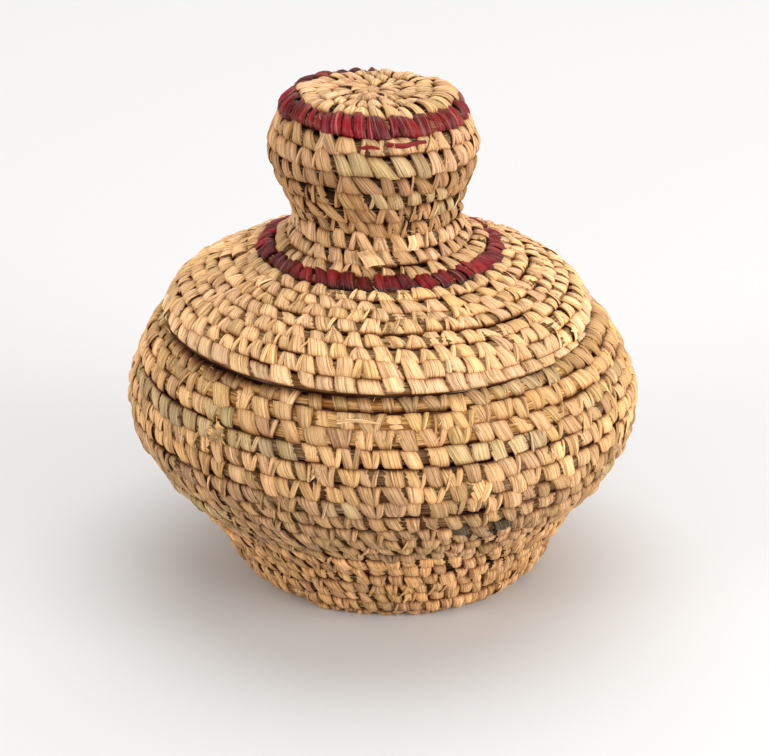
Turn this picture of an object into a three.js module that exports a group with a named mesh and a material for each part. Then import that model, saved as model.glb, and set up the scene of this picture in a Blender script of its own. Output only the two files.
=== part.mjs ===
import * as THREE from 'three';

// A lidded basket coiled from grass. Each half is one long bundle wound from a knot in the middle.
// All sizes are in millimetres. Radii and heights are those of the middle of the bundle.

// Rows
const WALL_PITCH = 4.85; // from row to row of the basket
const CONE_PITCH = 4.4; // from row to row of the lid's cone
const KNOB_PITCH = 5.05; // from row to row of the neck and the knob
const ROW_GAP = 0.6; // clear space between two rows
const SPLICE_GAP = 0.3; // clear space where one length of coil follows another
const FIRST_TURN_RADIUS = 4.9; // where each spiral starts
const KNOT_GAP = 0.3; // clear space round the knot in the middle of a spiral
const TAIL_ANGLE = 0.8; // the last bit of each coil thins out over this, in radians
const TAIL_SHARE = 0.45; // how thick the tail's tip is, as a share of the coil

// Basket
const FLOOR_CUT = 0.5; // depth of the worn flat that the base stands on
const FOOT_RADIUS = 42; // edge of the flat base
const FOOT_BEND = 4.5; // how far the edge's bend reaches each way
const FOOT_FLARE = 3.2; // how much wider the wall is above the bend
const WAIST_RADIUS = 46.6; // where the foot meets the belly
const WAIST_RISE = 3.6; // each rise is measured from the point before it
const FLARE_RADIUS = 57.7;
const FLARE_RISE = 18;
const BELLY_RADIUS = 67.2;
const BELLY_RISE = 11.2;
const WIDEST_RADIUS = 72.9;
const WIDEST_RISE = 13;
const SHOULDER_RADIUS = 70.4;
const SHOULDER_RISE = 14.4;
const LIP_RADIUS = 63.2; // the last row that shows under the lid
const LIP_RISE = 10.3;
const MOUTH_INSET = 9; // the mouth's row turns in from the lip by this
const MOUTH_RISE = 0.6;

// Lid
const RIM_INSET = 0.8; // the lid's rim lies inside the lip by this
const SEAT_GAP = 0.3; // clear space between the rim and the rows it sits on
const BROW_RADIUS = 58; // where the cone's slope rounds down to the rim
const BROW_RISE = 6.9;
const COLLAR_RADIUS = 31.8; // the red row between the cone and the neck
const COLLAR_RISE = 12.9;
const THROAT_RADIUS = 24.4;
const THROAT_RISE = 4.5;
const NECK_RADIUS = 22.1;
const NECK_RISE = 8.9;
const KNOB_RADIUS = 27.5;
const KNOB_RISE = 17.3;
const CROWN_RADIUS = 24.6; // below the red row at the knob's top edge
const CROWN_RISE = 10;
const CROWN_BEND = 4.5; // how far the top edge's bend reaches each way
const CROWN_DRAW = 1.4; // how much the bend draws in above that

// Crookedness of a basket sewn by hand
const FOOT_LEAN = 3.2; // how far the base lies to the right of the widest row
const KNOB_LEAN = -3; // the same of the knob's top, which lies to the left
const LID_TIP = 2; // how far the rim stands off the basket where it is highest
const LID_TIP_SIDE = -0.71 * Math.PI; // where that is: left front
const LID_TIP_POWER = 1.5; // how fast the rim comes down to both sides of that

// Winding
const WIDE_STEPS = 16; // straight steps in a turn
const TIGHT_STEPS = 8; // the same near a knot
const TIGHT_RADIUS = 24; // turns smaller than this are tight
const SIDES = 6;
const END_ANGLE = -Math.PI / 8; // where the rim's and the mouth's tails end: right front
const SPLICE_ANGLE = Math.PI / 2; // where one length of coil follows another: at the back
const SAMPLES = 4000;
const SEAT_DIRECTIONS = 48; // directions in which the seat's clear space is tried

const STRAW = 0xcfb08a;
const RED = 0x9c2a30;
const TURN = 2 * Math.PI;

const point = (radius, height) => new THREE.Vector3(radius, 0, height);
const coilRadius = (pitch) => (pitch - ROW_GAP) / 2;

// The line that the coil's middle follows from the knot: across a flat, round its edge, along the wall.
function profile(flatHeight, edgeRadius, bend, wall) {
  const bendStart = point(edgeRadius - bend, flatHeight);
  const side = new THREE.CatmullRomCurve3(wall, false, 'centripetal');
  side.arcLengthDivisions = SAMPLES;
  const path = new THREE.CurvePath();
  path.add(new THREE.LineCurve3(point(FIRST_TURN_RADIUS, flatHeight), bendStart));
  path.add(new THREE.QuadraticBezierCurve3(bendStart, point(edgeRadius, flatHeight), wall[0]));
  path.add(side);
  return path;
}

// How far along a profile it passes closest to a point.
function reach(path, target) {
  const length = path.getLength();
  let best = 0;
  let least = Infinity;
  for (let i = 0; i <= SAMPLES; i += 4) {
    const distance = path.getPoint(i / SAMPLES).distanceTo(target);
    if (distance < least) {
      least = distance;
      best = (i / SAMPLES) * length;
    }
  }
  return best;
}

// Winds a coil along a profile. way is 1 or -1: the turning seen from above. settle places a point of it.
function wind(path, pitchAt, way, settle) {
  const length = path.getLength();
  const angles = [0];
  for (let i = 1; i <= SAMPLES; i++) {
    const step = length / SAMPLES;
    angles.push(angles[i - 1] + (TURN * step) / pitchAt((i - 0.5) * step));
  }
  const total = angles[SAMPLES];

  function angleAt(distance) {
    const at = THREE.MathUtils.clamp((distance / length) * SAMPLES, 0, SAMPLES - 1e-6);
    const i = Math.floor(at);
    return THREE.MathUtils.lerp(angles[i], angles[i + 1], at - i);
  }

  function distanceAt(angle) {
    let low = 0;
    let high = SAMPLES;
    while (high - low > 1) {
      const middle = (low + high) >> 1;
      if (angles[middle] <= angle) low = middle;
      else high = middle;
    }
    const share = (angle - angles[low]) / (angles[high] - angles[low]);
    return ((low + THREE.MathUtils.clamp(share, 0, 1)) / SAMPLES) * length;
  }

  const azimuth = (angle) => END_ANGLE + way * (angle - total);

  // One ring of points round the coil, in the plane through the basket's axis.
  function ring(angle) {
    const distance = distanceAt(angle);
    const full = coilRadius(pitchAt(distance));
    const tail = Math.max(0, 1 - (total - angle) / TAIL_ANGLE);
    const radius = full * (1 - (1 - TAIL_SHARE) * tail);
    const middle = Math.max(0, distance - (full - radius));
    const share = middle / length;
    const nudge = 0.02 / length;
    const centre = path.getPoint(share);
    const along = path.getPoint(Math.min(1, share + nudge)).sub(path.getPoint(Math.max(0, share - nudge)));
    along.normalize();
    const turn = azimuth(angle);
    const points = [];
    for (let i = 0; i < SIDES; i++) {
      const round = (TURN * i) / SIDES;
      const out = centre.x + radius * (Math.cos(round) * along.x - Math.sin(round) * along.z);
      const up = centre.z + radius * (Math.cos(round) * along.z + Math.sin(round) * along.x);
      points.push(settle(out, turn, up));
    }
    return { angle, centre, radius, turn, points };
  }

  // The winding angle nearest a distance at which the coil passes the splice at the back.
  function spliceNear(distance) {
    const wanted = azimuth(angleAt(distance));
    const turns = Math.round((wanted - SPLICE_ANGLE) / TURN);
    return total + way * (SPLICE_ANGLE + turns * TURN - END_ANGLE);
  }

  // Rings from one winding angle to another, on steps that line up from row to row.
  function rings(from, to) {
    const wide = TURN / WIDE_STEPS;
    const list = [ring(from)];
    for (let k = Math.ceil((total - from) / wide); k >= 0; k--) {
      const angle = total - k * wide;
      const tight = distanceAt(angle) + FIRST_TURN_RADIUS < TIGHT_RADIUS;
      const skipped = tight && k % (WIDE_STEPS / TIGHT_STEPS) !== 0;
      const inside = angle > from + wide / 4 && angle < to - wide / 4;
      if (inside && !skipped) list.push(ring(angle));
    }
    list.push(ring(to));
    return list;
  }

  return { total, angleAt, rings, spliceNear, ring };
}

// Joins rings into one closed tube with flat ends.
function tube(list, way) {
  const positions = list.flatMap((ring) => ring.points.flatMap((p) => [p.x, p.y, p.z]));
  const faces = [];
  const add = (a, b, c) => faces.push(...(way > 0 ? [a, c, b] : [a, b, c]));
  for (let i = 0; i + 1 < list.length; i++) {
    for (let j = 0; j < SIDES; j++) {
      const a = i * SIDES + j;
      const b = i * SIDES + ((j + 1) % SIDES);
      add(a, b, b + SIDES);
      add(a, b + SIDES, a + SIDES);
    }
  }
  const last = (list.length - 1) * SIDES;
  for (let j = 1; j + 1 < SIDES; j++) {
    add(0, j + 1, j);
    add(last, last + j, last + j + 1);
  }
  const geometry = new THREE.BufferGeometry();
  geometry.setAttribute('position', new THREE.Float32BufferAttribute(positions, 3));
  geometry.setIndex(faces);
  geometry.computeVertexNormals();
  return geometry;
}

// The least distance between the points of two turns of one tube.
function leastGap(list) {
  let least = Infinity;
  for (let i = 0; i < list.length; i++) {
    for (let j = i + 1; j < list.length; j++) {
      if (list[j].angle - list[i].angle < Math.PI) continue;
      for (const p of list[i].points) {
        for (const q of list[j].points) least = Math.min(least, p.distanceTo(q));
      }
    }
  }
  return least;
}

function mesh(name, geometry, colour) {
  const material = new THREE.MeshStandardMaterial({ color: colour, roughness: 0.8, metalness: 0 });
  const solid = new THREE.Mesh(geometry, material);
  solid.name = name;
  return solid;
}

// Cuts a winding into named lengths. Each starts where the one before it ends.
function addLengths(group, winding, way, lengths) {
  let from = 0;
  lengths.forEach(({ name, to, colour }, i) => {
    const trim = (angle) => SPLICE_GAP / 2 / winding.ring(angle).centre.x;
    const start = i === 0 ? from : from + trim(from);
    const end = i === lengths.length - 1 ? to : to - trim(to);
    const list = winding.rings(start, end);
    group.add(mesh(name, tube(list, way), colour));
    const gap = leastGap(list);
    if (gap < Infinity) console.log(`${name}: least gap to itself ${gap.toFixed(2)} mm`);
    from = to;
  });
}

// The knot that a spiral starts round: flat below, rounded above, and aside by the basket's lean there.
function knot(name, pitch, bottom, top, aside) {
  const radius = (FIRST_TURN_RADIUS - coilRadius(pitch)) * Math.cos(Math.PI / TIGHT_STEPS) - KNOT_GAP;
  const side = THREE.MathUtils.lerp(bottom, top, 0.6);
  const outline = [[0, bottom], [radius, bottom], [radius, side], [radius * 0.6, top], [0, top]];
  const geometry = new THREE.LatheGeometry(outline.map(([r, z]) => new THREE.Vector2(r, z)), TIGHT_STEPS);
  geometry.rotateX(Math.PI / 2);
  geometry.translate(aside, 0, 0);
  return mesh(name, geometry, STRAW);
}

// Profile of the basket
const wallCoil = coilRadius(WALL_PITCH);
const baseHeight = wallCoil - FLOOR_CUT;
const footTop = point(FOOT_RADIUS + FOOT_FLARE, baseHeight + FOOT_BEND);
const waist = point(WAIST_RADIUS, footTop.z + WAIST_RISE);
const flare = point(FLARE_RADIUS, waist.z + FLARE_RISE);
const belly = point(BELLY_RADIUS, flare.z + BELLY_RISE);
const widest = point(WIDEST_RADIUS, belly.z + WIDEST_RISE);
const shoulder = point(SHOULDER_RADIUS, widest.z + SHOULDER_RISE);
const lip = point(LIP_RADIUS, shoulder.z + LIP_RISE);
const mouth = point(LIP_RADIUS - MOUTH_INSET, lip.z + MOUTH_RISE);
const basketPath = profile(baseHeight, FOOT_RADIUS, FOOT_BEND,
  [footTop, waist, flare, belly, widest, shoulder, lip, mouth]);

// Profile of the lid, with heights from its rim
const rim = point(LIP_RADIUS - RIM_INSET, 0);
const brow = point(BROW_RADIUS, BROW_RISE);
const collar = point(COLLAR_RADIUS, brow.z + COLLAR_RISE);
const throat = point(THROAT_RADIUS, collar.z + THROAT_RISE);
const neck = point(NECK_RADIUS, throat.z + NECK_RISE);
const knob = point(KNOB_RADIUS, neck.z + KNOB_RISE);
const crown = point(CROWN_RADIUS, knob.z + CROWN_RISE);
const topHeight = crown.z + CROWN_BEND;
const lidPath = profile(topHeight, CROWN_RADIUS - CROWN_DRAW, CROWN_BEND,
  [crown, knob, neck, throat, collar, brow, rim]);
const collarReach = reach(lidPath, collar);
const lidPitch = (distance) => {
  const share = THREE.MathUtils.clamp((distance - collarReach) / (2 * KNOB_PITCH) + 0.5, 0, 1);
  return THREE.MathUtils.lerp(KNOB_PITCH, CONE_PITCH, share);
};

// How far the basket leans to the right at a height: not at the widest row, most at the foot and the knob.
const rimHeight = lip.z + 2 * wallCoil;
function lean(height) {
  if (height < widest.z) return (FOOT_LEAN * (widest.z - height)) / widest.z;
  return (KNOB_LEAN * (height - widest.z)) / (rimHeight + topHeight - widest.z);
}

// How far the lid rises at a place that is out from its axis, from none at the throat to most at the rim.
function tip(out, turn) {
  const share = THREE.MathUtils.clamp((out - THROAT_RADIUS) / (rim.x - THROAT_RADIUS), 0, 1);
  return LID_TIP * share * Math.max(0, Math.cos(turn - LID_TIP_SIDE)) ** LID_TIP_POWER;
}

// Places of points that are out from the axis: in the basket, which is cut flat below, and in the lid.
function settleBasket(out, turn, up) {
  return new THREE.Vector3(out * Math.cos(turn) + lean(up), out * Math.sin(turn), Math.max(up, 0));
}
function settleLid(out, turn, up) {
  const aside = lean(up + rimHeight);
  return new THREE.Vector3(out * Math.cos(turn) + aside, out * Math.sin(turn), up + tip(out, turn));
}

// Basket
const basketWinding = wind(basketPath, () => WALL_PITCH, -1, settleBasket);
const basketSplice = (target) => basketWinding.spliceNear(reach(basketPath, target));
const baseEdge = point(FOOT_RADIUS - FOOT_BEND, baseHeight);

const basket = new THREE.Group();
basket.name = 'basket';
basket.add(knot('base_knot', WALL_PITCH, 0, baseHeight + wallCoil, lean(baseHeight)));
addLengths(basket, basketWinding, -1, [
  { name: 'base_coil', to: basketSplice(baseEdge), colour: STRAW },
  { name: 'foot_coil', to: basketSplice(waist), colour: STRAW },
  { name: 'flare_coil', to: basketSplice(flare), colour: STRAW },
  { name: 'belly_coil', to: basketSplice(belly), colour: STRAW },
  { name: 'widest_coil', to: basketSplice(shoulder), colour: STRAW },
  { name: 'shoulder_coil', to: basketWinding.total - TURN, colour: STRAW },
  { name: 'mouth_coil', to: basketWinding.total, colour: STRAW },
]);

// Lid
const lidWinding = wind(lidPath, lidPitch, 1, settleLid);
const lidSplice = (target) => lidWinding.spliceNear(reach(lidPath, target));
const crownReach = reach(lidPath, lidPath.curves[1].getPoint(0.5));
const crownStart = lidWinding.spliceNear(crownReach - KNOB_PITCH / 2);
const collarStart = lidWinding.spliceNear(collarReach - KNOB_PITCH / 2);

const lid = new THREE.Group();
lid.name = 'lid';
const knobCoil = coilRadius(KNOB_PITCH);
lid.add(knot('knob_knot', KNOB_PITCH, topHeight - knobCoil, topHeight + knobCoil, KNOB_LEAN));
addLengths(lid, lidWinding, 1, [
  { name: 'knob_top_coil', to: crownStart, colour: STRAW },
  { name: 'crown_red_coil', to: crownStart + TURN, colour: RED },
  { name: 'knob_coil', to: lidSplice(knob), colour: STRAW },
  { name: 'neck_coil', to: lidSplice(neck), colour: STRAW },
  { name: 'throat_coil', to: collarStart, colour: STRAW },
  { name: 'collar_red_coil', to: collarStart + TURN, colour: RED },
  { name: 'lid_cone_coil', to: lidWinding.total - TURN, colour: STRAW },
  { name: 'lid_rim_coil', to: lidWinding.total, colour: STRAW },
]);

// How far a ring of the lid has to rise to clear a ring of the basket below it by the seat gap.
function clearance(row, over) {
  const flat = (ring) => ring.points.map((p) => [p.x * Math.cos(ring.turn) + p.y * Math.sin(ring.turn), p.z]);
  const below = flat(row);
  const above = flat(over);
  let least = Infinity;
  for (let i = 1; i < SEAT_DIRECTIONS; i++) {
    const tilt = (Math.PI * i) / SEAT_DIRECTIONS;
    const along = ([out, up]) => out * Math.cos(tilt) + up * Math.sin(tilt);
    const overlap = Math.max(...below.map(along)) - Math.min(...above.map(along));
    least = Math.min(least, (overlap + SEAT_GAP) / Math.sin(tilt));
  }
  return least;
}

// The lid comes down until its rim is a seat gap away from the basket's last rows.
function seatHeight() {
  const rows = basketWinding.rings(basketWinding.total - 4 * TURN, basketWinding.total);
  const rims = lidWinding.rings(lidWinding.total - 4 * TURN, lidWinding.total);
  let height = -Infinity;
  for (const row of rows) {
    for (const over of rims) {
      const near = Math.cos(row.turn - over.turn) > Math.cos(0.01);
      if (near) height = Math.max(height, clearance(row, over));
    }
  }
  return height;
}
lid.position.z = seatHeight();

const part = new THREE.Group();
part.name = 'coiled_basket';
part.add(basket, lid);

export default part;
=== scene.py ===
import math

import bpy
import numpy as np
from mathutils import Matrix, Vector


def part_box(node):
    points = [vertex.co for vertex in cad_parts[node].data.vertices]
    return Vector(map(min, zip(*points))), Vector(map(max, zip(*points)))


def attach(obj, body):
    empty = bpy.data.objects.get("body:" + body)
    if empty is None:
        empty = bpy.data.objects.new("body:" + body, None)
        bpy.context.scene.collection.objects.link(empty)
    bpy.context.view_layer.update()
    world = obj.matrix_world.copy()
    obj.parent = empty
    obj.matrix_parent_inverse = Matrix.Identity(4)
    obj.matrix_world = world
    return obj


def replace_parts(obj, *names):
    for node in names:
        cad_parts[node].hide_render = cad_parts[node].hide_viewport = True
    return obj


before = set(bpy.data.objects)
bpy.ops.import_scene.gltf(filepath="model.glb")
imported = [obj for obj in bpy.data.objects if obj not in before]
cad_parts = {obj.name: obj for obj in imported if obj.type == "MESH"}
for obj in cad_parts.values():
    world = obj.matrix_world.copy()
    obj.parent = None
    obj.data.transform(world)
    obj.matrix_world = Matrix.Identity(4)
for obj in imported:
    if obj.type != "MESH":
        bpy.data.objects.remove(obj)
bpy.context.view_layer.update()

TURN = 2 * math.pi
MM = 0.001
SHARP = math.radians(48)
dice = np.random.default_rng(41)

# Sizes of the coils as the solids have them, in millimetres and radians
WALL_PITCH = 4.85
CONE_PITCH = 4.4
KNOB_PITCH = 5.05
ROW_GAP = 0.6
FLOOR_CUT = 0.5
FIRST_TURN_RADIUS = 4.9
TAIL_ANGLE = 0.8
TAIL_SHARE = 0.45
END_ANGLE = -math.pi / 8
SPLICE_ANGLE = math.pi / 2
BEND = 4.5
BASE_HEIGHT = (WALL_PITCH - ROW_GAP) / 2 - FLOOR_CUT
FOOT_EDGE = 42.0
FOOT = (45.2, BASE_HEIGHT + BEND)
WAIST = (46.6, FOOT[1] + 3.6)
FLARE = (57.7, WAIST[1] + 18.0)
BELLY = (67.2, FLARE[1] + 11.2)
WIDEST = (72.9, BELLY[1] + 13.0)
SHOULDER = (70.4, WIDEST[1] + 14.4)
LIP = (63.2, SHOULDER[1] + 10.3)
MOUTH = (54.2, LIP[1] + 0.6)

# Heights of the lid are from its rim
RIM = (62.4, 0.0)
BROW = (58.0, 6.9)
COLLAR = (31.8, BROW[1] + 12.9)
THROAT = (24.4, COLLAR[1] + 4.5)
NECK = (22.1, THROAT[1] + 8.9)
KNOB = (27.5, NECK[1] + 17.3)
CROWN = (24.6, KNOB[1] + 10.0)
CROWN_EDGE = 23.2
TOP_HEIGHT = CROWN[1] + BEND
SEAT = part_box("knob_knot")[1][2] / MM - TOP_HEIGHT - (KNOB_PITCH - ROW_GAP) / 2

# The handmade basket is crooked: its base lies to the right and its top to the left of the widest row,
# and the lid's rim stands off the basket at the left front
FOOT_LEAN = 3.2
KNOB_LEAN = -3.0
LID_TIP = 2.0
LID_TIP_SIDE = -0.71 * math.pi
LID_TIP_POWER = 1.5

# Waves of the hand-wound rows: mm of swing, waves in a turn, and phase
WAVES_ACROSS = ((0.32, 1.7, 0.9), (0.24, 4.3, 2.1))
WAVES_OUT = ((0.2, 2.3, 0.4), (0.14, 5.7, 0.0))
# The round is a little out of true: mm of swing, waves in a turn, twist in a mm of height, and phase
OUT_OF_TRUE = ((0.3, 2, 0.05, 0.0), (0.2, 5, 0.11, 1.3))
FULL_WOBBLE_RADIUS = 40
# Near a knot, strips turn as if round the first of these radii and stay outside the second. On the knob's
# top they lie over the row before only from the third on. Nothing is lower than OFF_FLOOR.
TIGHTEST_TURN = 3.0
KNOT_HOLE = 0.3
KNOT_CLEAR = 5.0
OFF_FLOOR = 0.02
# How many points the curves, the flat start of a profile and the winding are worked out at
CURVE_STEPS = 120
FLAT_STEPS = 300
WINDING_STEPS = 4001


def smooth_curve(points):
    """A centripetal curve through points, as closely spaced points."""
    points = [np.array(p, float) for p in points]
    ends = [2 * points[0] - points[1], *points, 2 * points[-1] - points[-2]]
    out = []
    for a, b, c, d in zip(ends, ends[1:], ends[2:], ends[3:]):
        g0, g1, g2 = (math.sqrt(np.linalg.norm(q - p)) for p, q in ((a, b), (b, c), (c, d)))
        m1 = ((b - a) / g0 - (c - a) / (g0 + g1) + (c - b) / g1) * g1
        m2 = ((c - b) / g1 - (d - b) / (g1 + g2) + (d - c) / g2) * g1
        s = np.linspace(0, 1, CURVE_STEPS)[:, None]
        out.append(b * (2 * s**3 - 3 * s**2 + 1) + m1 * (s**3 - 2 * s**2 + s)
                   + c * (3 * s**2 - 2 * s**3) + m2 * (s**3 - s**2))
    return np.vstack(out)


class Coil:
    """A bundle of grass wound outwards from a knot along a profile of radius and height."""

    def __init__(self, flat, edge, wall, way, lift, pitches):
        start, corner = np.array([edge - BEND, flat]), np.array([edge, flat])
        s = np.linspace(0, 1, CURVE_STEPS)[:, None]
        bend = (1 - s) ** 2 * start + 2 * s * (1 - s) * corner + s * s * np.array(wall[0])
        level = np.linspace([FIRST_TURN_RADIUS, flat], start, FLAT_STEPS)
        line = np.vstack([level, bend, smooth_curve(wall)])
        line = line[np.r_[True, np.hypot(*np.diff(line, axis=0).T) > 1e-6]]
        self.line, self.way, self.lift = line, way, lift
        self.distances = np.r_[0, np.cumsum(np.hypot(*np.diff(line, axis=0).T))]
        self.length = self.distances[-1]
        self.bend_middle = bend[CURVE_STEPS // 2]
        along = np.gradient(line, self.distances, axis=0)
        for _ in range(3):
            along[1:-1] = (along[:-2] + along[1:-1] + along[2:]) / 3
        self.along = along / np.linalg.norm(along, axis=1)[:, None]
        self.inner_pitch, self.outer_pitch, change = pitches
        self.change = self.reach(change)
        self.marks = np.linspace(0, self.length, WINDING_STEPS)
        middles = (self.marks[1:] + self.marks[:-1]) / 2
        self.angles = np.r_[0, np.cumsum(TURN * np.diff(self.marks) / self.pitch(middles))]
        self.total = self.angles[-1]

    def pitch(self, distance):
        share = np.clip((distance - self.change) / (2 * self.inner_pitch) + 0.5, 0, 1)
        return self.inner_pitch + (self.outer_pitch - self.inner_pitch) * share

    def distance(self, angle):
        past = angle - np.clip(angle, 0, self.total)
        return np.interp(angle, self.angles, self.marks) + past * self.outer_pitch / TURN

    def azimuth(self, angle):
        return END_ANGLE + self.way * (angle - self.total)

    def angle_of(self, azimuth, rows_from_end):
        """The winding angle at an azimuth, so many rows before the coil's last."""
        return self.total - (self.way * (END_ANGLE - azimuth)) % TURN - rows_from_end * TURN

    def reach(self, target):
        """The distance along the profile at which it comes nearest to a target."""
        return self.distances[np.argmin(np.hypot(*(self.line - np.array(target)).T))]

    def splice_near(self, distance):
        """The winding angle near a distance at which the coil passes the back."""
        wanted = self.azimuth(np.interp(distance, self.marks, self.angles))
        turns = round((wanted - SPLICE_ANGLE) / TURN)
        return self.total + self.way * (SPLICE_ANGLE + turns * TURN - END_ANGLE)

    def profile(self, distance):
        """Radius, height and direction of the profile, running straight on past its ends."""
        inside = np.clip(distance, 0, self.length)
        past = distance - inside
        r, z, tr, tz = (np.interp(inside, self.distances, v) for v in (*self.line.T, *self.along.T))
        return r + past * tr, z + past * tz, tr, tz

    def place(self, angle, aside, across, out):
        """Points in metres: aside runs round the basket, across from row to row, out from the wall."""
        middle = np.maximum(self.profile(self.distance(angle))[0], TIGHTEST_TURN)
        turn = aside / middle
        azimuth = self.azimuth(angle) + turn
        across = across + sum(swing * np.sin(rate * angle + phase) for swing, rate, phase in WAVES_ACROSS)
        out = out + sum(swing * np.sin(rate * angle + phase) for swing, rate, phase in WAVES_OUT)
        r, z, tr, tz = self.profile(self.distance(angle + self.way * turn) + across)
        r = np.maximum(r - self.way * out * tz, KNOT_HOLE)
        z = z + self.way * out * tr
        return settled(r, azimuth, z, self.lift)


def settled(r, azimuth, z, lift):
    """Points in metres of the crooked basket, or of its lid where lift isn't 0."""
    height = np.maximum(z + lift, OFF_FLOOR)
    wobble = sum(swing * np.sin(waves * azimuth + twist * height + phase)
                 for swing, waves, twist, phase in OUT_OF_TRUE)
    r = r + wobble * np.clip(r / FULL_WOBBLE_RADIUS, 0, 1)
    lean = np.interp(height, [0, WIDEST[1], SEAT + TOP_HEIGHT], [FOOT_LEAN, 0, KNOB_LEAN])
    x = r * np.cos(azimuth) + lean
    if lift:
        share = np.clip((r - THROAT[0]) / (RIM[0] - THROAT[0]), 0, 1)
        height = height + LID_TIP * share * np.maximum(np.cos(azimuth - LID_TIP_SIDE), 0) ** LID_TIP_POWER
    return np.stack([x, r * np.sin(azimuth), height], axis=-1) * MM


basket_coil = Coil(BASE_HEIGHT, FOOT_EDGE, [FOOT, WAIST, FLARE, BELLY, WIDEST, SHOULDER, LIP, MOUTH], -1, 0,
                   (WALL_PITCH, WALL_PITCH, MOUTH))
lid_coil = Coil(TOP_HEIGHT, CROWN_EDGE, [CROWN, KNOB, NECK, THROAT, COLLAR, BROW, RIM], 1, SEAT,
                (KNOB_PITCH, CONE_PITCH, COLLAR))


def basket_splice(target):
    return basket_coil.splice_near(basket_coil.reach(target))


def lid_splice(target, back=0.0):
    return lid_coil.splice_near(lid_coil.reach(target) - back)


crown_start = lid_splice(lid_coil.bend_middle, KNOB_PITCH / 2)
collar_start = lid_splice(COLLAR, KNOB_PITCH / 2)

# Where each length of coil ends, as a winding angle
BASKET_ENDS = {
    "base_coil": basket_splice((FOOT_EDGE - BEND, BASE_HEIGHT)), "foot_coil": basket_splice(WAIST),
    "flare_coil": basket_splice(FLARE), "belly_coil": basket_splice(BELLY),
    "widest_coil": basket_splice(SHOULDER), "shoulder_coil": basket_coil.total - TURN,
    "mouth_coil": basket_coil.total}
LID_ENDS = {
    "knob_top_coil": crown_start, "crown_red_coil": crown_start + TURN, "knob_coil": lid_splice(KNOB),
    "neck_coil": lid_splice(NECK), "throat_coil": collar_start, "collar_red_coil": collar_start + TURN,
    "lid_cone_coil": lid_coil.total - TURN, "lid_rim_coil": lid_coil.total}


class Shade:
    """An output in a material's nodes that can be added and multiplied."""

    def __init__(self, tree, socket):
        self.tree, self.socket = tree, socket

    def node(self, kind, settings, inputs, output=0):
        """A new node fed from these inputs, as one of its outputs."""
        made = self.tree.nodes.new(kind)
        for name, value in settings.items():
            setattr(made, name, value)
        for key, value in inputs.items():
            feed(self.tree, made.inputs[key], value)
        return Shade(self.tree, made.outputs[output])

    def math(self, operation, *values):
        return self.node("ShaderNodeMath", {"operation": operation}, dict(enumerate(values)))

    def __add__(self, other):
        return self.math("ADD", self, other)

    def __sub__(self, other):
        return self.math("SUBTRACT", self, other)

    def __rsub__(self, other):
        return self.math("SUBTRACT", other, self)

    def __mul__(self, other):
        return self.math("MULTIPLY", self, other)

    __radd__, __rmul__ = __add__, __mul__

    def between(self, low, high):
        """0 at low, 1 at high, smooth between and held past them."""
        settings = {"interpolation_type": "SMOOTHSTEP"}
        return self.node("ShaderNodeMapRange", settings, {0: self, 1: low, 2: high})

    def mixed(self, other, share, how="MIX"):
        """This colour with another over it."""
        settings = {"data_type": "RGBA", "blend_type": how}
        return self.node("ShaderNodeMix", settings, {0: share, 6: self, 7: other}, 2)

    def noise(self, scale, detail):
        """Noise over this vector, with a scale for each axis."""
        moved = self.node("ShaderNodeVectorMath", {"operation": "MULTIPLY"}, {0: self, 1: scale})
        return self.node("ShaderNodeTexNoise", {}, {"Vector": moved, "Scale": 1.0, "Detail": detail})


def feed(tree, socket, value):
    """Sets a socket to a value, or links an output to it."""
    if isinstance(value, Shade):
        tree.links.new(value.socket, socket)
    else:
        socket.default_value = value


# What soiled fibres, and the painted shade along a strip's edges, multiply a leaf's colour by, what bleached
# fibres add to it and how much of that, and the fibres' relief, with its height in metres
SOILED_AND_SHADED = (0.34, 0.22, 0.13, 1)
BLEACHED = (1.0, 0.88, 0.66, 1)
BLEACHED_SHARE = 0.26
FIBRE_HEIGHT = 0.0004
FIBRE_STRENGTH = 0.8


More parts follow.
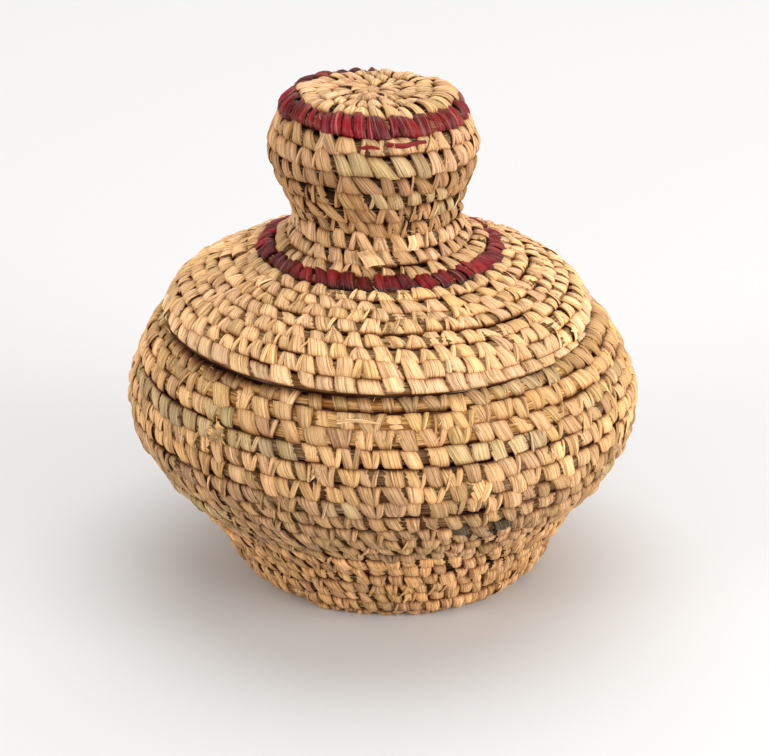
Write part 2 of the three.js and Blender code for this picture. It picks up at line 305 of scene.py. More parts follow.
def leaf_material(name, rough, shine, fibre_depth, stain, painted_edge_shade):
    """Dried leaf: fibres along the strip, blotches and painted shade along the edges over the colour that the
    mesh brings.
    """
    material = bpy.data.materials.new(name)
    material.use_nodes = True
    tree = material.node_tree
    shader = tree.nodes["Principled BSDF"]
    start = Shade(tree, None)
    leaf = start.node("ShaderNodeUVMap", {"uv_map": "leaf"}, {})
    span = start.node("ShaderNodeUVMap", {"uv_map": "span"}, {})
    tint = start.node("ShaderNodeAttribute", {"attribute_name": "tint"}, {})
    aside = start.node("ShaderNodeSeparateXYZ", {}, {0: span})
    fibre = leaf.noise((2.1, 0.06, 1.0), 3.0)
    fine = leaf.noise((6.5, 0.14, 1.0), 1.5)
    blotch = leaf.noise((0.45, 0.30, 1.0), 3.0)
    speck = leaf.noise((1.8, 1.3, 1.0), 2.0)
    split = leaf.noise((1.1, 0.035, 1.0), 1.0) - 0.5
    split = split.math("ABSOLUTE", split)
    edge = (aside - 0.5).math("ABSOLUTE", aside - 0.5) * 2.0
    dark = tint.mixed(SOILED_AND_SHADED, 1.0, "MULTIPLY")
    pale = tint.mixed(BLEACHED, BLEACHED_SHARE, "ADD")
    colour = tint.mixed(dark, fibre.between(0.53, 0.30) * fibre_depth)
    colour = colour.mixed(pale, fibre.between(0.52, 0.76) * fibre_depth)
    colour = colour.mixed(dark, fine.between(0.46, 0.32) * fibre_depth)
    colour = colour.mixed(dark, split.between(0.016, 0.005) * 0.6)
    colour = colour.mixed(dark, blotch.between(0.55, 0.80) * stain)
    colour = colour.mixed(dark, speck.between(0.66, 0.74) * (stain * 0.8))
    # Painted shade along the strip's edges, darkened with the same colour as soiled fibres
    colour = colour.mixed(dark, edge.between(0.80, 1.0) * painted_edge_shade)
    feed(tree, shader.inputs["Base Color"], colour)
    feed(tree, shader.inputs["Roughness"], rough + 0.3 * (fibre - 0.5) + 0.12 * blotch.between(0.4, 0.7))
    shader.inputs["Specular IOR Level"].default_value = shine
    height = fibre + 0.45 * fine - 0.5 * split.between(0.03, 0.0)
    relief = {"Strength": FIBRE_STRENGTH, "Distance": FIBRE_HEIGHT, "Height": height}
    feed(tree, shader.inputs["Normal"], height.node("ShaderNodeBump", {}, relief))
    return material


straw_leaf = leaf_material("straw_leaf", rough=0.5, shine=0.1, fibre_depth=0.62, stain=0.35, painted_edge_shade=0.5)
red_leaf = leaf_material("red_leaf", rough=0.3, shine=0.2, fibre_depth=0.6, stain=0.5, painted_edge_shade=0.4)
grass_stem = leaf_material("grass_stem", rough=0.6, shine=0.06, fibre_depth=0.85, stain=0.45, painted_edge_shade=0.0)

# Each grid of points bakes into a cell of its own, with this share of the cell left free at each side
CELL_MARGIN = 0.05


def sheets(name, points, leaf, tints, material, body):
    """One piece from many small grids of points, with the leaf's coordinates and colours over them."""
    n, m, k = points.shape[:3]
    a = (np.arange(m - 1)[:, None] * k + np.arange(k - 1)).ravel()
    grid = np.stack([a, a + 1, a + k + 1, a + k], axis=1)
    first = points[0].reshape(-1, 3)
    p = first[grid]
    normals = np.cross(p[:, 2] - p[:, 0], p[:, 3] - p[:, 1])
    if (normals * (p.mean(axis=1) - first.mean(axis=0))).sum() < 0:
        grid = grid[:, ::-1]
    quads = (grid[None] + (np.arange(n) * m * k)[:, None, None]).reshape(-1, 4)
    mesh = bpy.data.meshes.new(name)
    mesh.from_pydata(points.reshape(-1, 3).tolist(), [], quads.tolist())
    span = np.stack(np.meshgrid(np.linspace(0, 1, k), np.linspace(0, 1, m)), axis=-1)
    span = span[None] + np.zeros((n, 1, 1, 1))
    cells = math.ceil(math.sqrt(n))
    cell = np.stack([np.arange(n) % cells, np.arange(n) // cells], axis=1)[:, None, None, :]
    baked = (cell + CELL_MARGIN + (1 - 2 * CELL_MARGIN) * span) / cells
    for layer, values in (("leaf", leaf), ("span", span), ("OFBake", baked)):
        corners = values.reshape(-1, 2)[quads.ravel()].astype(np.float32)
        mesh.uv_layers.new(name=layer).data.foreach_set("uv", corners.ravel())
    colours = np.ones((n * m * k, 4), np.float32)
    colours[:, :3] = np.broadcast_to(tints, points.shape).reshape(-1, 3)
    mesh.color_attributes.new("tint", "FLOAT_COLOR", "POINT").data.foreach_set("color", colours.ravel())
    mesh.polygons.foreach_set("use_smooth", np.ones(len(quads), bool))
    mesh.set_sharp_from_angle(angle=SHARP)
    mesh.materials.append(material)
    mesh.update()
    piece = bpy.data.objects.new(name, mesh)
    bpy.context.scene.collection.objects.link(piece)
    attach(piece, body)
    return piece


# A strip's way round its row, in pitches: across the rows and out from the wall. It comes out of the crease
# before the row, or lies over the row before with its tip, then goes over its own row and on round the
# inside. Where its end lies on the row after, the last points outside are those of FAR_LAID.
FROM_CREASE = [(-0.58, 0.02), (-0.545, 0.17), (-0.49, 0.30), (-0.40, 0.395)]
FROM_TIP = [(-0.84, 0.26), (-0.79, 0.385), (-0.65, 0.43), (-0.45, 0.445)]
OUTSIDE = [(-0.22, 0.45), (0.0, 0.465), (0.22, 0.445), (0.38, 0.375), (0.455, 0.25), (0.50, 0.06)]
FAR_LAID = [(0.50, 0.425), (0.64, 0.41), (0.75, 0.25)]
INSIDE = [(0.48, -0.12), (0.37, -0.33), (0.14, -0.46), (-0.14, -0.46), (-0.37, -0.34), (-0.49, -0.13)]
# At each of these points: its share of the way across, how much the strip curls, and how bright it is
# painted: painted shade in the creases between the rows and round the inside, less of it where a tip lies
# over the row before
SLANT = np.array([0, 0.05, 0.13, 0.24, 0.42, 0.58, 0.74, 0.87, 0.95, 1.0, 1.05, 1.15, 1.3, 1.45, 1.6, 1.7])
CURL = np.array([0.3, 0.5, 0.8, 1, 1, 1, 1, 0.9, 0.6, 0.3, 0.3, 0.5, 0.7, 0.7, 0.5, 0.3])
CREASE_LIGHT = np.array([0.02, 0.08, 0.36, 0.82, 1, 1, 1, 0.82, 0.25, 0.03, 0.3, 0.6, 0.75, 0.75, 0.6, 0.4])
CREASE_LIGHT_TIP = np.array([0.2, 0.75, 1, 1])
# Points across the strip, from edge to edge, and how bright they are painted: painted shade towards the edges
# and on their undersides, a slight painted highlight in the middle. The first and the last are the undersides
# of its edges, lower by its thickness in mm.
COLUMNS = np.array([-1, -1, -0.84, -0.45, 0, 0.45, 0.84, 1, 1])
EDGE = np.array([1, 0, 0, 0, 0, 0, 0, 0, 1])
EDGE_LIGHT = np.array([0.03, 0.26, 0.92, 1.03, 1.06, 1.03, 0.92, 0.26, 0.03])
THICKNESS = 0.32
# Radius of the bundle of stems, in pitches
CORE = 0.40
# Shaded leaf is browner than lit leaf: how fast red, green and blue fall off
BROWNING = np.array([0.86, 1.25, 1.65])
# How dark the painted shadow of the lid's rim makes the rows in the deepest part of the gap below the rim
GAP_SHADE = 0.96


def tail_share(coil, angle):
    """How thick a coil is at an angle, against its full thickness: the last of it tapers off."""
    return 1 - (1 - TAIL_SHARE) * np.clip(1 - (coil.total - angle) / TAIL_ANGLE, 0, 1)


def under_rim(coil, angle):
    """How dark the basket's last two rows are painted in the gap below the raised part of the lid's rim: a
    painted shadow.
    """
    near = np.maximum(np.cos(coil.azimuth(angle) - LID_TIP_SIDE), 0) ** LID_TIP_POWER
    return GAP_SHADE * near * (coil.total - angle < 2 * TURN) * (coil.lift == 0)


class Strips:
    """Leaf strips sewn round a coil, collected one by one and then made into a piece."""

    def __init__(self):
        self.rows = []

    def add(self, angle, tip, far, tip_width, far_width, tint, over, lift, cup, ridge, roll, twist, bend,
            reach, shift):
        """tip and far are its places aside where it starts and ends. over is 1 where its tip lies on the row
        before, and reach is 1 where its end lies on the row after. lift, cup, ridge, roll and twist shape it
        out from the row, bend sideways, and shift moves it across."""
        self.rows.append((angle, tip, far, tip_width, far_width, over, lift, cup, ridge, roll, twist, bend,
                          reach, shift, *tint))

    def make(self, name, coil, material, body, slot, inside, squeeze):
        """One piece from all the strips. With inside they go on round the inside of the row, and squeeze says
        how far they bulge towards the row after."""
        data = np.array(self.rows)
        columns, tints = data[:, :-3].T[:, :, None, None], data[:, None, None, -3:]
        angle, tip, far, tip_width, far_width, over, lift = columns[:7]
        cup, ridge, roll, twist, bend, reach, shift = columns[7:]
        onwards = OUTSIDE + (INSIDE if inside else [])
        crease, laid = np.array(FROM_CREASE + onwards), np.array(FROM_TIP + onwards)
        m, shown = len(crease), len(FROM_CREASE + OUTSIDE)
        ends = slice(shown - len(FAR_LAID), shown)
        reached = np.zeros(crease.shape)
        reached[ends] = np.array(FAR_LAID) - crease[ends]
        path = crease[:, None] + over[..., None] * (laid - crease)[:, None]
        path = path + reach[..., None] * reached[:, None]
        slant, curl, crease_light = (v[None, :m, None] for v in (SLANT, CURL, CREASE_LIGHT))
        crease_light_tip = np.r_[CREASE_LIGHT_TIP, CREASE_LIGHT[len(CREASE_LIGHT_TIP):m]][None, :, None]
        c, edge, edge_light = (v[None, None, :] for v in (COLUMNS, EDGE, EDGE_LIGHT))
        pitch = coil.pitch(coil.distance(angle))
        facing = np.where(np.arange(m) < shown, 1.0, -1.0)[None, :, None]
        relief = cup * (1 - c * c) + roll * (1 - coil.way * c) / 2 + twist * c * (2 * slant - 1)
        relief = (relief + lift + ridge * np.cos(6 * c + 60 * ridge)) * curl - THICKNESS * edge
        breadth = tip_width + (far_width - tip_width) * np.clip(slant, 0, 1)
        aside = tip + (far - tip) * slant + bend * np.sin(np.pi * np.clip(slant, 0, 1)) + c * breadth / 2
        across = np.where(path[..., 0] > 0, squeeze, 1.0) * path[..., 0] + shift * curl
        thick = tail_share(coil, angle)
        across = (across * thick - CORE * (1 - thick)) * pitch + 0 * aside
        out = path[..., 1] * thick * pitch + facing * relief
        points = coil.place(angle + 0 * aside, aside, across, out)
        run = np.cumsum(np.hypot(*np.diff(crease, axis=0, prepend=crease[:1]).T))[None, :, None] * pitch
        start = dice.uniform(0, 900, (2, len(data), 1, 1))
        leaf = np.stack([c * breadth / 2 + start[0], run + start[1] + 0 * aside], axis=-1)
        # Painted shade in the creases, round the inside and towards the strip's edges
        light = (crease_light + over * (crease_light_tip - crease_light)) * edge_light
        # Painted shadow of the lid's rim over the last two rows, on the part of each strip that the rim hangs
        # over
        rim_shadow_share = np.where(coil.total - angle < TURN, 1.0, np.clip(2.5 * slant - 0.7, 0, 1))
        light = light * (1 - under_rim(coil, angle) * rim_shadow_share)
        return sheets(name, points, leaf, tints * light[..., None] ** BROWNING, material, body)


# The bundle of stems: mm between its rings, points round a ring, and how much wider it is across than out
STEM_RING = 2.4
STEM_SIDES = 34
STEM_BREADTH = 1.38


def stem_core(coil, node, start, end, tint, body):
    """The bundle of grass stems inside one length of coil, with painted shade towards the rows beside it."""
    radius = coil.profile(coil.distance(np.linspace(start, end, 60)))[0].mean()
    bands = math.ceil((end - start) / TURN * 2)
    rings = max(6, int((end - start) * radius / bands / STEM_RING))
    edges = np.linspace(start, end, bands + 1)
    angle = (edges[:-1, None] + (edges[1:] - edges[:-1])[:, None] * np.linspace(0, 1, rings))[:, :, None]
    full = CORE * coil.pitch(coil.distance(angle))
    thick = full * tail_share(coil, angle)
    turn = np.linspace(0, TURN, STEM_SIDES)[None, None, :]
    stems = 1 + 0.07 * np.cos(11 * turn + 0.9 * np.sin(angle * 2.1)) + 0.02 * np.sin(5 * turn + angle * 3)
    across = STEM_BREADTH * thick * stems * np.cos(turn) - (full - thick)
    out = thick * stems * np.sin(turn)
    points = coil.place(angle + 0 * turn, 0 * out, across, out)
    leaf = np.stack([turn * 2.3 + 0 * out, angle * radius + 0 * out], axis=-1)
    # Painted shade on the sides of the bundle that face the rows beside it
    crease_light = 0.08 + 0.92 * np.clip((np.abs(np.sin(turn)) - 0.55) / 0.3, 0, 1)
    shadow = dice.uniform(0.25, 1.0, (*out.shape[:2], 1)) ** 0.7
    # Painted shadow of the lid's rim on the stems of the last two rows
    shadow = shadow * (1 - under_rim(coil, angle) * np.clip(2 * np.cos(turn) + 0.5, 0, 1))
    tints = np.array(tint) * (crease_light * shadow)[..., None] ** BROWNING
    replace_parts(sheets(node + "_stems", points, leaf, tints, grass_stem, body), node)


# Colours of the leaf, as linear light
STRAW = np.array([0.83, 0.54, 0.275])
PINK = np.array([0.77, 0.46, 0.24])
GOLD = np.array([0.78, 0.46, 0.185])
TAN = np.array([0.63, 0.37, 0.175])
GREY = np.array([0.52, 0.40, 0.215])
GREEN = np.array([0.50, 0.385, 0.165])
BLACK = np.array([0.03, 0.029, 0.018])
RED = np.array([0.235, 0.007, 0.010])


def blended(*shares):
    """A random blend of colours with weights."""
    weights = np.array([w for w, _ in shares]) * dice.uniform(0.3, 1.7, len(shares))
    return sum(w * c for w, (_, c) in zip(weights, shares)) / weights.sum() * dice.uniform(0.9, 1.1)


def from_front(azimuth):
    """Degrees to the right of the front."""
    return (math.degrees(azimuth) + 90 + 180) % 360 - 180


# Where the basket's leaf changes colour: rows before the coil's end, degrees right of the front, mm high
GREY_ROW = 1.95
GOLDEN_ROW = 2.95
GREEN_ROW = (3.95, 4.95)
GREEN_LEFT = (-100, -16)
GREEN_RIGHT = (12, 60)
GREEN_HEIGHTS = (56, 64)
BRIGHT_HEIGHT = 53
DARK_SIDES = (17, 31)
DARK_HEIGHTS = (38, 45)


def within(value, limits):
    return limits[0] < value < limits[1]


def basket_tint(node, rows_left, side, height):
    """The colour of a leaf sewn into the basket."""
    # The mouth row sits under the lid: its leaf is painted at half brightness, as painted shade
    if node == "mouth_coil":
        return blended((1.0, GREY), (0.8, TAN)) * 0.5
    if rows_left < GREY_ROW:
        return blended((1.0, GREY), (0.4, GREEN), (0.9, TAN)) * 1.12
    if rows_left < GOLDEN_ROW:
        return blended((1.0, GOLD), (0.6, STRAW), (0.4, TAN)) * 0.84
    if node in ("foot_coil", "base_coil", "flare_coil"):
        return blended((1.0, TAN), (0.7, PINK), (0.3, GOLD), (0.4, STRAW)) * np.array([0.86, 0.81, 0.73])
    green = 0.03
    if within(side, GREEN_LEFT) and height > GREEN_HEIGHTS[0]:
        green = 0.85 if within(rows_left, GREEN_ROW) else 0.15
    if within(side, GREEN_RIGHT) and within(height, GREEN_HEIGHTS):
        green = 0.25
    if dice.random() < green:
        return blended((1.0, GREY), (0.5, GREEN), (0.7, TAN))
    # Above this height the leaf is a brighter blend; below it a browner blend painted darker, as painted
    # shade on the rows under the widest that face down
    if height > BRIGHT_HEIGHT:
        return blended((0.9, GOLD), (0.5, STRAW), (0.35, PINK), (0.5, TAN)) * 0.91
    return blended((0.5, GOLD), (0.8, TAN), (0.9, PINK), (0.2, STRAW)) * 0.68


def lid_tint(node):
    """The colour of a leaf sewn into the lid."""
    if "red" in node:
        return RED * dice.uniform(0.7, 1.3) * np.array([1, dice.uniform(0.7, 1.6), dice.uniform(0.8, 1.3)])
    if node == "knob_top_coil":
        return blended((1.0, STRAW), (0.8, PINK))
    if node in ("knob_coil", "neck_coil"):
        if dice.random() < 0.04:
            return blended((1.0, GREY), (0.5, GREEN), (0.8, TAN))
        # The knob's leaf is made a little darker and the neck's much darker and browner
        neck_and_knob_tone = [0.64, 0.60, 0.56] if node == "neck_coil" else [0.86, 0.86, 0.93]
        return blended((1.0, TAN), (0.6, PINK), (0.4, STRAW), (0.4, GOLD)) * np.array(neck_and_knob_tone)
    if node == "throat_coil":
        return blended((0.7, TAN), (0.6, PINK), (0.7, STRAW)) * 0.94
    # The rim's leaf is painted paler and bluer, a painted highlight; the cone's leaf is a little paler
    pale = np.array([1.0, 1.04, 1.12]) if node == "lid_rim_coil" else 1.04
    return blended((1.3, STRAW), (0.7, PINK), (0.3, GOLD)) * pale


def jitter(value, share):
    """A value that is off by up to a share of it."""
    return value * dice.uniform(1 - share, 1 + share)


# How each length is sewn: spacing of the stitches in mm, share that fork, slant, share whose tips lie over
# the row before, and width at the tip as a share of the far width
SEWING = {
    "base_coil": (5.0, 0.25, 0.6, 0.3, 0.8), "foot_coil": (4.3, 0.1, 0.8, 0.2, 0.95),
    "flare_coil": (4.3, 0.2, 0.9, 0.2, 0.95), "belly_coil": (4.9, 0.35, 1.1, 0.22, 0.9),
    "widest_coil": (5.6, 0.5, 1.2, 0.3, 0.84), "shoulder_coil": (6.4, 0.6, 1.2, 0.3, 0.7),
    "mouth_coil": (6.9, 0.0, 1.1, 0.0, 0.6), "knob_top_coil": (3.6, 0.15, 0.8, 0.35, 0.75),
    "crown_red_coil": (3.2, 0.0, 1.8, 0.4, 0.9), "knob_coil": (5.2, 0.5, 1.7, 0.3, 0.7),
    "neck_coil": (5.0, 0.55, 1.8, 0.3, 0.65), "throat_coil": (4.6, 0.45, 1.2, 0.4, 0.65),
    "collar_red_coil": (3.2, 0.0, 1.8, 0.4, 0.9), "lid_cone_coil": (5.6, 0.6, 1.1, 0.55, 0.72),
    "lid_rim_coil": (6.0, 0.0, 0.7, 0.85, 0.9)}
# Widths as shares of the spacing: both arms of a forked stitch, and a plain stitch
WIDE_ARM = 0.82
WIDE_ARM_ON_KNOB = 0.93
NARROW_ARM = 0.36
PLAIN_ON_LID = 1.05
PLAIN_ON_BASKET = 0.98
PLAIN_IN_GREY_ROW = 0.72
# Shares of stitches: dark ones in the dark patch, red ones left out, and ones with a loose end over them
DARK_SHARE = 0.5
RED_LEFT_OUT = 0.02
LOOSE_SHARE = 0.07
# The spacing in mm that the slants are for
SLANT_SPACING = 6.2


def lie(laid):
    """How a strip lies on its row, where a share of the strips lie over the row before."""
    over = dice.uniform(0.6, 1.0) if dice.random() < laid else dice.uniform(0.0, 0.45)
    return dict(over=over, lift=dice.uniform(-0.65, -0.15), cup=dice.uniform(0.45, 1.15),
                ridge=dice.uniform(0, 0.15), roll=dice.uniform(-0.35, 0.55), twist=dice.uniform(-0.5, 0.5),
                bend=dice.uniform(-0.4, 0.4), reach=max(0.0, dice.normal(0.1, 0.25)),
                shift=dice.uniform(-0.12, 0.12))


def red_lie(node):
    """What differs in a red strip: more twist, and in the collar more lying over the rows beside it."""
    red = dict(cup=dice.uniform(0.5, 1.2), twist=dice.uniform(-1.0, 1.0), lift=dice.uniform(-0.6, 0.1),
               shift=dice.uniform(-0.13, 0.13), reach=dice.uniform(0.0, 0.4))
    if node == "collar_red_coil":
        red.update(over=dice.uniform(0.2, 0.9), reach=dice.uniform(0.3, 1.0), lift=dice.uniform(-0.3, 0.2))
    return red


def plain_width(coil, rows_left):
    """The width of a plain stitch as a share of the spacing."""
    if coil is lid_coil:
        return PLAIN_ON_LID
    return PLAIN_IN_GREY_ROW if rows_left < GREY_ROW else PLAIN_ON_BASKET


def sew(coil, node, start, end):
    """The stitches along part of a length of coil."""
    spacing, forked, slant, laid, tip_share = SEWING[node]
    on_knob = node in ("knob_coil", "neck_coil")
    strips = Strips()
    way = coil.way
    angle, left = start, 0
    while angle < end:
        r, z, _, _ = coil.profile(coil.distance(angle))
        step = jitter(spacing, 0.18)
        side = from_front(coil.azimuth(angle))
        rows_left = (coil.total - angle) / TURN
        if left == 0:
            left = dice.integers(2, 6)
            leaf = basket_tint(node, rows_left, side, z) if coil is basket_coil else lid_tint(node)
        left -= 1
        tint = leaf * jitter(0.97, 0.14 if coil is lid_coil else 0.22)
        tint = tint * np.array([1, dice.uniform(0.97, 1.02), dice.uniform(0.88, 1.08)])
        in_patch = coil is basket_coil and within(side, DARK_SIDES) and within(z, DARK_HEIGHTS)
        if in_patch and dice.random() < DARK_SHARE:
            tint = blended((1.0, BLACK), (0.3, TAN))
        sewn = lie(laid)
        if node == "lid_cone_coil" and angle < LID_ENDS["collar_red_coil"] + TURN:
            sewn.update(over=min(sewn["over"], 0.4))
        if node == "knob_top_coil":
            sewn.update(over=min(sewn["over"], max(0.0, (float(r) - KNOT_CLEAR) / 2)))
        if node in ("foot_coil", "flare_coil", "belly_coil"):
            sewn.update(reach=sewn["reach"] * 0.3)
        if "red" in node:
            step = jitter(spacing, 0.4)
            sewn.update(red_lie(node))
            tint = tint * dice.uniform(0.5, 1.35)
        if node == "knob_top_coil" and end - angle < TURN:
            sewn.update(reach=dice.uniform(0.0, 0.9))
        if node == "lid_rim_coil":
            sewn.update(reach=0.0)
        turn = step / max(float(r), TIGHTEST_TURN)
        lean = way * slant * dice.uniform(0.4, 2.2) * step / SLANT_SPACING
        if dice.random() < forked:
            wide = jitter(WIDE_ARM_ON_KNOB if on_knob else WIDE_ARM, 0.12) * step
            tip = -way * dice.uniform(-0.06, 0.1) * step
            strips.add(angle, tip, lean + way * 0.1 * step, wide * tip_share, wide, tint, **sewn)
            narrow = jitter(NARROW_ARM, 0.3) * step
            sewn.update(lift=sewn["lift"] + dice.uniform(-0.15, 0.35), twist=dice.uniform(-0.4, 0.4))
            tip = -way * dice.uniform(0.0, 0.2) * step
            far = -way * dice.uniform(0.2, 0.48) * step
            strips.add(angle, tip, far, narrow * tip_share, narrow, tint * dice.uniform(0.88, 1.1), **sewn)
        elif "red" not in node or dice.random() > RED_LEFT_OUT:
            wide = jitter(plain_width(coil, rows_left), 0.09) * step
            strips.add(angle, -lean / 2, lean, wide * jitter(tip_share, 0.2), wide, tint, **sewn)
        if "red" not in node and dice.random() < LOOSE_SHARE:
            sewn.update(over=0.8, lift=0.4, roll=0.1, cup=0.2)
            tip = way * dice.uniform(0, 2)
            far = -way * dice.uniform(0, 2)
            strips.add(angle + 0.4 * turn, tip, far, 0.7, jitter(1.1, 0.4), tint * 1.1, **sewn)
        angle += turn
    return strips


# Colours of the stems that show between the stitches, and which lengths have which. The others are dark. The
# two darkest colours are painted shade in the gaps between the stitches.
DARK_CORE = (0.06, 0.025, 0.008)
STEM_CORE = (0.62, 0.38, 0.15)
PALE_CORE = (0.36, 0.22, 0.10)
SHADED_CORE = (0.20, 0.12, 0.055)
RED_CORE = (0.30, 0.11, 0.06)
CORES = {
    "foot_coil": PALE_CORE, "widest_coil": SHADED_CORE, "shoulder_coil": STEM_CORE, "knob_coil": SHADED_CORE,
    "throat_coil": SHADED_CORE, "lid_cone_coil": PALE_CORE, "lid_rim_coil": PALE_CORE,
    "crown_red_coil": RED_CORE, "collar_red_coil": RED_CORE}
# Lengths whose inside is shut in, so that their strips stop in the crease
SHUT_IN = ("knob_top_coil", "crown_red_coil", "knob_coil", "neck_coil", "throat_coil", "collar_red_coil")
# How far the rim's strips bulge past its outer side, against others, and about how many rows a piece has
RIM_SQUEEZE = 0.86
ROWS_IN_PIECE = 3.5
# Each coil starts this far before the turn that the solids start with, tight round its knot
INNER_START = -2.6

for coil, ends, body in ((basket_coil, BASKET_ENDS, "basket"), (lid_coil, LID_ENDS, "lid")):
    start = INNER_START
    for node, end in ends.items():
        leaf, slot = (red_leaf, "red_strip") if "red" in node else (straw_leaf, "straw")
        stem_core(coil, node, start, end, CORES.get(node, DARK_CORE), body)
        pieces = max(1, round((end - start) / (ROWS_IN_PIECE * TURN)))
        for i in range(pieces):
            a, b = (start + (end - start) * j / pieces for j in (i, i + 1))
            squeeze = RIM_SQUEEZE if node == "lid_rim_coil" else 1.0
            name = "%s_stitches_%d" % (node, i + 1)
            sew(coil, node, a, b).make(name, coil, leaf, body, slot, node not in SHUT_IN, squeeze)
        start = end


# The strips of a knot, from the lowest up: the way each runs in radians, and half its length and width in mm
KNOT_TURNS = np.array([0.2, 1.35, 2.3, 0.8, 1.9])
KNOT_REACH = 3.7
KNOT_BREADTH = 1.5


def knot_strips(name, node, body, height, lift):
    """The tight start of a coil: short strips tied over one another."""
    s = np.linspace(-1, 1, 9)[None, :, None]
    c = np.linspace(-1, 1, 5)[None, None, :]
    turn = KNOT_TURNS[:, None, None]
    layer = np.arange(len(KNOT_TURNS))[:, None, None]
    along, beside = KNOT_REACH * s, KNOT_BREADTH * c
    x = along * np.cos(turn) - beside * np.sin(turn)
    y = along * np.sin(turn) + beside * np.cos(turn)
    z = height + (0.4 + 0.2 * layer) * (1 - s**4) - 2.2 * s**8 + 0.25 * (1 - c**2) + 0 * x
    points = settled(np.hypot(x, y), np.arctan2(y, x), z, lift)
    leaf = np.stack([beside + 20 * layer + 0 * x, along + 30 * layer + 0 * x], axis=-1)
    tints = np.array([blended((1, STRAW), (1, PINK), (0.5, TAN)) for _ in KNOT_TURNS])[:, None, None, :]
    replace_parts(sheets(name, points, leaf, tints, straw_leaf, body), node)


knot_strips("base_knot_strips", "base_knot", "basket", BASE_HEIGHT + 1.7, 0)
knot_strips("knob_knot_strips", "knob_knot", "lid", TOP_HEIGHT + 1.4, SEAT)


# How far out from the middle of its row a tuft's strand starts, rises and ends, and where fine fibres start
# and lie, in mm, and how many points a strand has
TUFT_ROOT = 1.4
TUFT_RISE = (2.4, 3.4)
TUFT_END = (1.9, 3.3)
FUZZ_ROOT = 2.1
FUZZ_OUT = 2.5
STRAND_POINTS = 10


class Frays:
    """Loose strands and bits of leaf that stand off a coil."""

    def __init__(self, coil):
        self.coil, self.strands = coil, []

    def at(self, side, height):
        """The winding angle at a place that many degrees right of the front and that high."""
        coil = self.coil
        rows = [coil.angle_of(math.radians(side - 90), k) for k in range(int(coil.total / TURN) - 1)]
        heights = np.array([coil.profile(coil.distance(a))[1] for a in rows]) + coil.lift
        return rows[int(np.argmin(np.abs(heights - height)))]

    def add(self, angle, path, width, tint, taper=0.3):
        """A strand along a path of points aside, up and out."""
        line = smooth_curve(path)
        line = line[np.linspace(0, len(line) - 1, STRAND_POINTS).astype(int)]
        self.strands.append((angle, line, width, tint, taper))

    def tuft(self, side, height, count, size, tint, width=1.2):
        """Short curled ends in one place."""
        angle = self.at(side, height)
        for _ in range(count):
            a, b = dice.uniform(-0.3, 0.3, 2) * size
            c, d = dice.uniform(-1.0, 1.0, 2) * size
            middle = (a + 0.5 * c, b + 0.5 * d, dice.uniform(*TUFT_RISE))
            end = (a + c, b + d, dice.uniform(*TUFT_END))
            path = [(a, b, TUFT_ROOT), middle, end]
            self.add(angle, path, dice.uniform(0.4, width), tint * dice.uniform(0.6, 1.2))

    def fuzz(self, count, first):
        """Fine fibres all over the outside, from a winding angle on."""
        for _ in range(count):
            c, d = dice.uniform(-1.0, 1.0, 2) * dice.uniform(1.0, 3.5)
            lift = dice.uniform(0.1, 0.9)
            path = [(0, 0, FUZZ_ROOT), (0.5 * c, 0.5 * d, FUZZ_OUT + 0.6 * lift), (c, d, FUZZ_OUT + lift)]
            angle = dice.uniform(first, self.coil.total)
            self.add(angle, path, dice.uniform(0.1, 0.3), STRAW * dice.uniform(0.6, 1.1))

    def make(self, name, material, body, slot):
        """One piece from all the strands."""
        angle, line, width, tint, taper = (np.array(v) for v in zip(*self.strands))
        angle, width, taper = (v[:, None, None] for v in (angle, width, taper))
        c = np.array([-1, -0.4, 0.4, 1])[None, None, :]
        run = np.gradient(line, axis=1)
        beside = np.stack([run[..., 1], -run[..., 0]], axis=-1)
        beside = beside / np.maximum(np.linalg.norm(beside, axis=-1, keepdims=True), 1e-6)
        s = np.linspace(0, 1, line.shape[1])[None, :, None]
        half = c * width / 2 * (1 - (1 - taper) * s**2)
        aside, up = (line[..., i, None] + beside[..., i, None] * half for i in (0, 1))
        out = line[..., 2, None] + 0.18 * width * (1 - c * c)
        points = self.coil.place(angle + 0 * aside, aside, -self.coil.way * up, out)
        start = dice.uniform(0, 900, (2, len(angle), 1, 1))
        leaf = np.stack([half + start[0], 8 * s + start[1] + 0 * half], axis=-1)
        sheets(name, points, leaf, tint[:, None, None, :], material, body)


basket_frays = Frays(basket_coil)
basket_frays.tuft(3, 71, 9, 2.4, GOLD * 0.85)
basket_frays.tuft(-38, 67, 12, 3.6, GOLD * 0.85, 2.4)
basket_frays.tuft(-14, 62, 5, 2.2, STRAW)
basket_frays.tuft(38, 60, 4, 2.0, TAN)
basket_frays.tuft(25, 42, 5, 2.4, BLACK * 1.5, 0.8)
basket_frays.tuft(150, 58, 6, 2.6, TAN)
loose_strand = [(-6.5, -0.4, 2.4), (-1, 0.2, 2.9), (5, -0.3, 2.6)]
basket_frays.add(basket_frays.at(-4, 72.5), loose_strand, 1.1, STRAW)
basket_frays.fuzz(260, BASKET_ENDS["base_coil"])
basket_frays.make("basket_frays", straw_leaf, "basket", "straw")

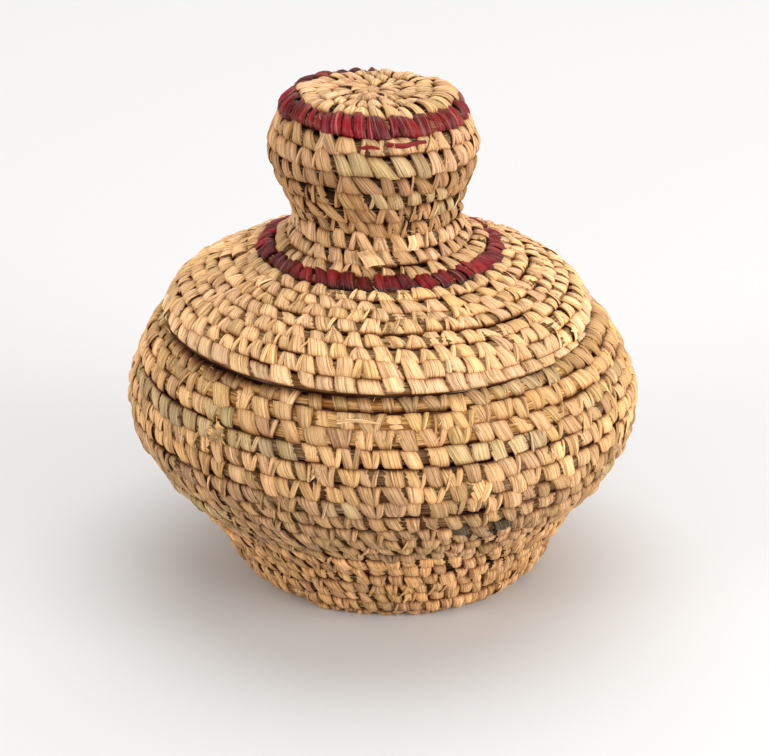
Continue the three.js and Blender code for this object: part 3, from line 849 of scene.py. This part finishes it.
lid_frays = Frays(lid_coil)
lid_frays.tuft(-110, 95, 6, 2.6, TAN)
lid_frays.tuft(114, 99, 6, 2.6, TAN)
lid_frays.tuft(62, 85, 7, 3.0, STRAW)
lid_frays.tuft(170, 92, 5, 2.4, TAN)
folded_leaf = [(1.6, -3.4, 2.2), (0.6, -1.1, 3.5), (-0.3, 1.2, 3.6), (-1.3, 3.4, 2.2)]
lid_frays.add(lid_frays.at(-4, 105), folded_leaf, 5.2, STRAW * 1.1, 0.95)
small_leaf = [(0, -2.6, 2.3), (0.4, 0, 3.1), (0.2, 2.6, 2.2)]
lid_frays.add(lid_frays.at(24, 110), small_leaf, 3.1, STRAW * 1.1, 0.8)
lid_frays.fuzz(200, LID_ENDS["knob_top_coil"])
lid_frays.make("lid_frays", straw_leaf, "lid", "straw")

stray_red = Frays(lid_coil)
long_end = [(-5.5, 0.6, 2.3), (-1.5, -0.1, 2.7), (2.5, 0.5, 2.7), (5.5, 0.4, 2.2)]
short_end = [(-2.6, -0.3, 2.2), (0, 0.2, 2.6), (2.4, -0.2, 2.2)]
stray_red.add(stray_red.at(21, 138), long_end, 1.5, RED, 0.6)
stray_red.add(stray_red.at(-1, 137), short_end, 1.1, RED, 0.6)
stray_red.make("stray_red_strip", red_leaf, "lid", "red_strip")


# Stage, light and camera, in metres
FLOOR_REACH = 6.0
FLOOR_COLOUR = (0.61, 0.608, 0.606, 1)
FLOOR_ROUGHNESS = 0.9
ROOM_LIGHT = 0.67

floor_mesh = bpy.data.meshes.new("floor")
corners = [(x * FLOOR_REACH, y * FLOOR_REACH, 0) for x, y in ((-1, -1), (1, -1), (1, 1), (-1, 1))]
floor_mesh.from_pydata(corners, [], [(0, 1, 2, 3)])
floor = bpy.data.objects.new("floor", floor_mesh)
bpy.context.scene.collection.objects.link(floor)
floor_paint = bpy.data.materials.new("floor_paint")
floor_paint.use_nodes = True
floor_paint.node_tree.nodes["Principled BSDF"].inputs["Base Color"].default_value = FLOOR_COLOUR
floor_paint.node_tree.nodes["Principled BSDF"].inputs["Roughness"].default_value = FLOOR_ROUGHNESS
floor_mesh.materials.append(floor_paint)


def softbox(name, place, aim, size, power, colour):
    """A round soft light that points at its aim."""
    light = bpy.data.lights.new(name, "AREA")
    light.shape, light.size, light.energy, light.color = "DISK", size, power, colour
    lamp = bpy.data.objects.new(name, light)
    lamp.location = place
    lamp.rotation_euler = (Vector(aim) - Vector(place)).to_track_quat("-Z", "Y").to_euler()
    bpy.context.scene.collection.objects.link(lamp)


softbox("sky_light", (0.2, 0.85, 2.0), (0, 0, 0), 2.6, 38.5, (1.0, 0.99, 0.98))
softbox("key_light", (1.15, -0.5, 0.48), (0, 0, 0.05), 0.8, 10.5, (1.0, 0.98, 0.96))
softbox("low_light", (0.85, -0.65, 0.12), (0.03, 0, 0.03), 0.4, 6.8, (1.0, 0.98, 0.95))
softbox("front_light", (-1.75, -0.85, 0.5), (0, 0, 0.06), 1.0, 21.0, (1.0, 0.98, 0.96))
world = bpy.data.worlds.new("studio")
world.use_nodes = True
world.node_tree.nodes["Background"].inputs[0].default_value = (1, 1, 1, 1)
world.node_tree.nodes["Background"].inputs[1].default_value = ROOM_LIGHT
bpy.context.scene.world = world

# The camera looks down from the front at a point close to the basket's axis. Lens and sensor are in mm.
ELEVATION = math.radians(23.8)
DISTANCE = 0.66
AIM = 0.0572
ASIDE = 0.0006
LENS = 103
SENSOR = 36
camera_data = bpy.data.cameras.new("camera")
camera_data.sensor_width = SENSOR
camera_data.lens = LENS
camera = bpy.data.objects.new("camera", camera_data)
camera.location = (ASIDE, -DISTANCE * math.cos(ELEVATION), AIM + DISTANCE * math.sin(ELEVATION))
camera.rotation_euler = (math.pi / 2 - ELEVATION, 0, 0)
bpy.context.scene.collection.objects.link(camera)
bpy.context.scene.camera = camera
bpy.context.scene.view_settings.view_transform = "Standard"
